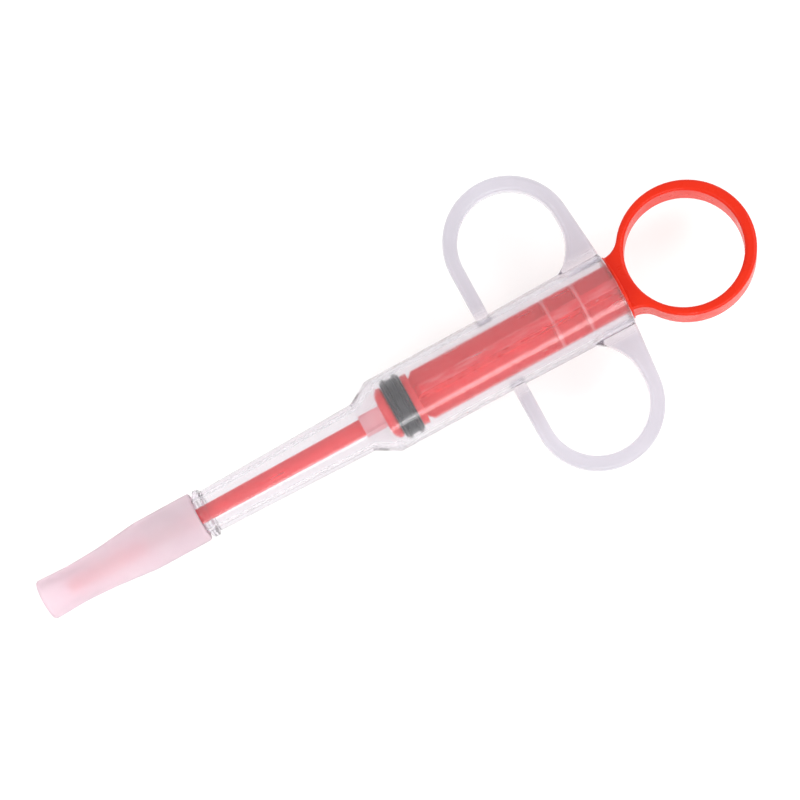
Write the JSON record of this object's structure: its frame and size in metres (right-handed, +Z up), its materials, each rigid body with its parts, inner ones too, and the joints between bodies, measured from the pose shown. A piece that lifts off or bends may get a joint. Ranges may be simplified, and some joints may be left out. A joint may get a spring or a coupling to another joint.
{
  "type": "oral syringe",
  "caption": "Three-ring pill-dispenser oral syringe: clear barrel with finger loops, long nozzle, soft tip, red thumb-ring plunger with push rod and rubber seal.",
  "frame": {"origin": "on the surface that the syringe lies on, below the middle of its length and on its centre line", "axes": "+X along the syringe from the soft tip to the thumb ring, +Y across it through the finger loops, +Z up"},
  "size_m": [0.1636, 0.065, 0.0169],
  "materials": {
    "barrel_plastic": "translucent, smooth",
    "tip_elastomer": "frosted, translucent",
    "plunger_plastic": "glossy",
    "seal_rubber": "matt"
  },
  "bodies": {
    "barrel": {"barrel": "barrel_plastic"},
    "seal": {"plunger_seal": "seal_rubber"},
    "plunger": {"plunger": "plunger_plastic"},
    "soft_tip": {"soft_tip": "tip_elastomer"}
  },
  "joints": [
    {"name": "plunger_slide", "type": "slide", "parent": "barrel", "child": "seal", "axis": [1, 0, 0], "range_m": [0, 0.045]},
    {"name": "plunger_turn", "type": "hinge", "parent": "seal", "child": "plunger", "pos_m": [0.05112, 0, 0.00845], "axis": [1, 0, 0], "continuous": true},
    {"name": "tip_pull_off", "type": "slide", "parent": "barrel", "child": "soft_tip", "axis": [-1, 0, 0], "range_m": [0, 0.04]}
  ]
}
